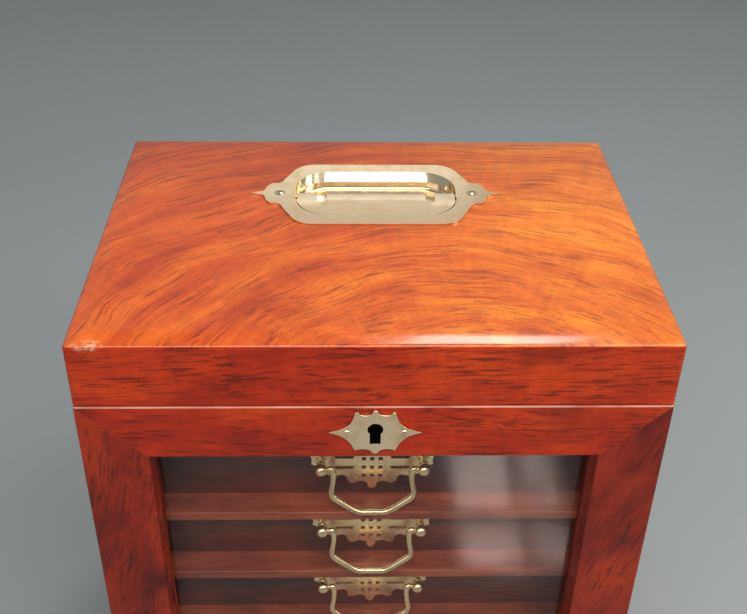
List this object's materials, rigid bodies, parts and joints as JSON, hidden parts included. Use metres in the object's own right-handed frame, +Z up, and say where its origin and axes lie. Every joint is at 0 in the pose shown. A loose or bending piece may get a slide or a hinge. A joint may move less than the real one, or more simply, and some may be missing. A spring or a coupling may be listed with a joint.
{
  "type": "jewellery chest with drawers",
  "caption": "Upright wooden jewellery chest with lift-up lid, flush carrying handle, glazed fall front with lock, and velvet-lined drawers on swan-neck pulls.",
  "frame": {"origin": "centre of the underside, on the surface that the chest stands on", "axes": "+Z up, +Y from the glazed front to the hinged back, +X to the right of someone facing the front"},
  "size_m": [0.3, 0.2306, 0.3391],
  "materials": {
    "lacquered_rosewood": "high-gloss lacquer over figured red-brown rosewood veneer",
    "case_wood": "satin lacquer over darker rosewood",
    "polished_brass": "polished and lacquered pale brass",
    "clear_glass": "clear float glass",
    "mirror": "bevelled silvered mirror",
    "velvet": "short-pile velvet",
    "baize": "woollen baize"
  },
  "bodies": {
    "case": {"base_felt": "baize", "base_board": "lacquered_rosewood", "case_left_side": "lacquered_rosewood", "case_right_side": "lacquered_rosewood", "case_back": "lacquered_rosewood", "plinth_rail": "case_wood", "bottom_shelf": "case_wood", "drawer_shelves": "case_wood", "well_floor": "case_wood", "well_front": "case_wood", "well_tray": "velvet", "ring_rolls": "velvet", "lid_hinge_case_leaves": "polished_brass", "front_hinge_case_leaves": "polished_brass", "hinge_pins": "polished_brass"},
    "lid": {"lid_top": "lacquered_rosewood", "lid_front_rail": "lacquered_rosewood", "lid_back_rail": "lacquered_rosewood", "lid_side_rails": "lacquered_rosewood", "lid_mirror": "mirror", "lid_hinge_lid_leaves": "polished_brass", "lock_keeper": "polished_brass", "carry_handle_plate": "polished_brass", "carry_handle_screws": "polished_brass"},
    "carry_handle": {"carry_handle_grip": "polished_brass"},
    "fall_front": {"front_top_rail": "lacquered_rosewood", "front_bottom_rail": "lacquered_rosewood", "front_left_stile": "lacquered_rosewood", "front_right_stile": "lacquered_rosewood", "front_glass": "clear_glass", "glazing_beads": "lacquered_rosewood", "escutcheon": "polished_brass", "escutcheon_pins": "polished_brass", "lock_case": "polished_brass", "front_hinge_front_leaves": "polished_brass"},
    "lock_bolt": {"lock_bolt": "polished_brass"},
    "drawer_1": {"drawer_1_front": "case_wood", "drawer_1_box": "case_wood", "drawer_1_lining": "velvet", "drawer_1_pull_plate": "polished_brass", "drawer_1_pull_posts": "polished_brass"},
    "bail_1": {"drawer_1_bail": "polished_brass"},
    "drawer_2": {"drawer_2_front": "case_wood", "drawer_2_box": "case_wood", "drawer_2_lining": "velvet", "drawer_2_pull_plate": "polished_brass", "drawer_2_pull_posts": "polished_brass"},
    "bail_2": {"drawer_2_bail": "polished_brass"},
    "drawer_3": {"drawer_3_front": "case_wood", "drawer_3_box": "case_wood", "drawer_3_lining": "velvet", "drawer_3_pull_plate": "polished_brass", "drawer_3_pull_posts": "polished_brass"},
    "bail_3": {"drawer_3_bail": "polished_brass"},
    "drawer_4": {"drawer_4_front": "case_wood", "drawer_4_box": "case_wood", "drawer_4_lining": "velvet", "drawer_4_pull_plate": "polished_brass", "drawer_4_pull_posts": "polished_brass"},
    "bail_4": {"drawer_4_bail": "polished_brass"}
  },
  "joints": [
    {"name": "lid_hinge", "type": "hinge", "parent": "case", "child": "lid", "pos_m": [0, 0.1133, 0.29905], "axis": [-1, 0, 0], "range_deg": [0, 95]},
    {"name": "carry_handle_swing", "type": "hinge", "parent": "lid", "child": "carry_handle", "pos_m": [0.003, 0.0365, 0.3355], "axis": [-1, 0, 0], "range_deg": [0, 95]},
    {"name": "front_fall", "type": "hinge", "parent": "case", "child": "fall_front", "pos_m": [0, -0.1133, 0.0139], "axis": [1, 0, 0], "range_deg": [0, 92]},
    {"name": "lock_bolt_slide", "type": "slide", "parent": "fall_front", "child": "lock_bolt", "axis": [0, 0, 1], "range_m": [0, 0.005]},
    {"name": "drawer_1_slide", "type": "slide", "parent": "case", "child": "drawer_1", "axis": [0, -1, 0], "range_m": [0, 0.12]},
    {"name": "bail_1_swing", "type": "hinge", "parent": "drawer_1", "child": "bail_1", "pos_m": [0, -0.084, 0.2304], "axis": [-1, 0, 0], "range_deg": [0, 75]},
    {"name": "drawer_2_slide", "type": "slide", "parent": "case", "child": "drawer_2", "axis": [0, -1, 0], "range_m": [0, 0.12]},
    {"name": "bail_2_swing", "type": "hinge", "parent": "drawer_2", "child": "bail_2", "pos_m": [0, -0.084, 0.1824], "axis": [-1, 0, 0], "range_deg": [0, 75]},
    {"name": "drawer_3_slide", "type": "slide", "parent": "case", "child": "drawer_3", "axis": [0, -1, 0], "range_m": [0, 0.12]},
    {"name": "bail_3_swing", "type": "hinge", "parent": "drawer_3", "child": "bail_3", "pos_m": [0, -0.084, 0.1344], "axis": [-1, 0, 0], "range_deg": [0, 75]},
    {"name": "drawer_4_slide", "type": "slide", "parent": "case", "child": "drawer_4", "axis": [0, -1, 0], "range_m": [0, 0.12]},
    {"name": "bail_4_swing", "type": "hinge", "parent": "drawer_4", "child": "bail_4", "pos_m": [0, -0.084, 0.0864], "axis": [-1, 0, 0], "range_deg": [0, 75]}
  ],
  "couplings": [
    {"joint": "drawer_1_slide", "follows": "front_fall", "m_per_rad": 0.074},
    {"joint": "bail_1_swing", "follows": "front_fall", "ratio": 0.45},
    {"joint": "drawer_2_slide", "follows": "front_fall", "m_per_rad": 0.074},
    {"joint": "bail_2_swing", "follows": "front_fall", "ratio": 0.45},
    {"joint": "drawer_3_slide", "follows": "front_fall", "m_per_rad": 0.074},
    {"joint": "bail_3_swing", "follows": "front_fall", "ratio": 0.45},
    {"joint": "drawer_4_slide", "follows": "front_fall", "m_per_rad": 0.032},
    {"joint": "bail_4_swing", "follows": "front_fall", "ratio": 0.35}
  ]
}
